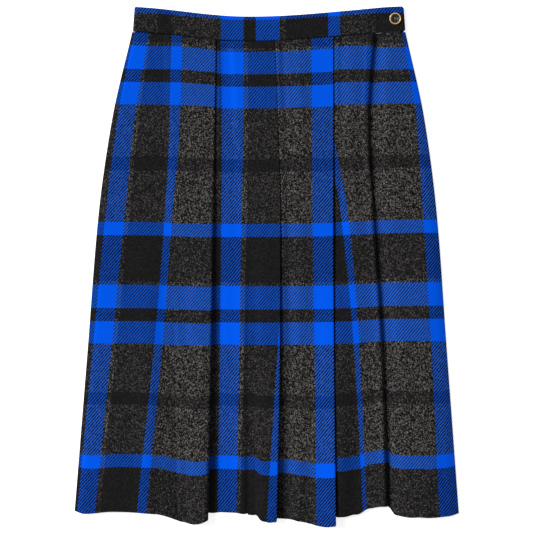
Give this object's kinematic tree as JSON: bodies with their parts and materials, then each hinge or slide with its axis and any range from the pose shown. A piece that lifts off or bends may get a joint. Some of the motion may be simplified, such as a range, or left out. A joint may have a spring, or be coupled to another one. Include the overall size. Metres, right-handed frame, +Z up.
{
  "type": "plaid pleated skirt",
  "caption": "Woollen plaid skirt laid flat on its back, with knife pleats front and back, a folded waistband and a rimmed button.",
  "frame": {"origin": "centre of the bounding box's bottom face, on the surface that the skirt lies on", "axes": "+X to the right as the front is seen, which is the wearer's left; +Y up the skirt to the waistband; +Z up off the surface"},
  "size_m": [0.4932, 0.6658, 0.0202],
  "materials": {
    "plaid_wool": "matte twill, blue, charcoal and black plaid",
    "button_dark": "dark moulded button",
    "button_brass": "satin"
  },
  "bodies": {
    "root": {"skirt_front": "plaid_wool", "skirt_back": "plaid_wool", "waistband": "plaid_wool", "button": "button_dark", "button_rim": "button_brass"}
  },
  "joints": []
}
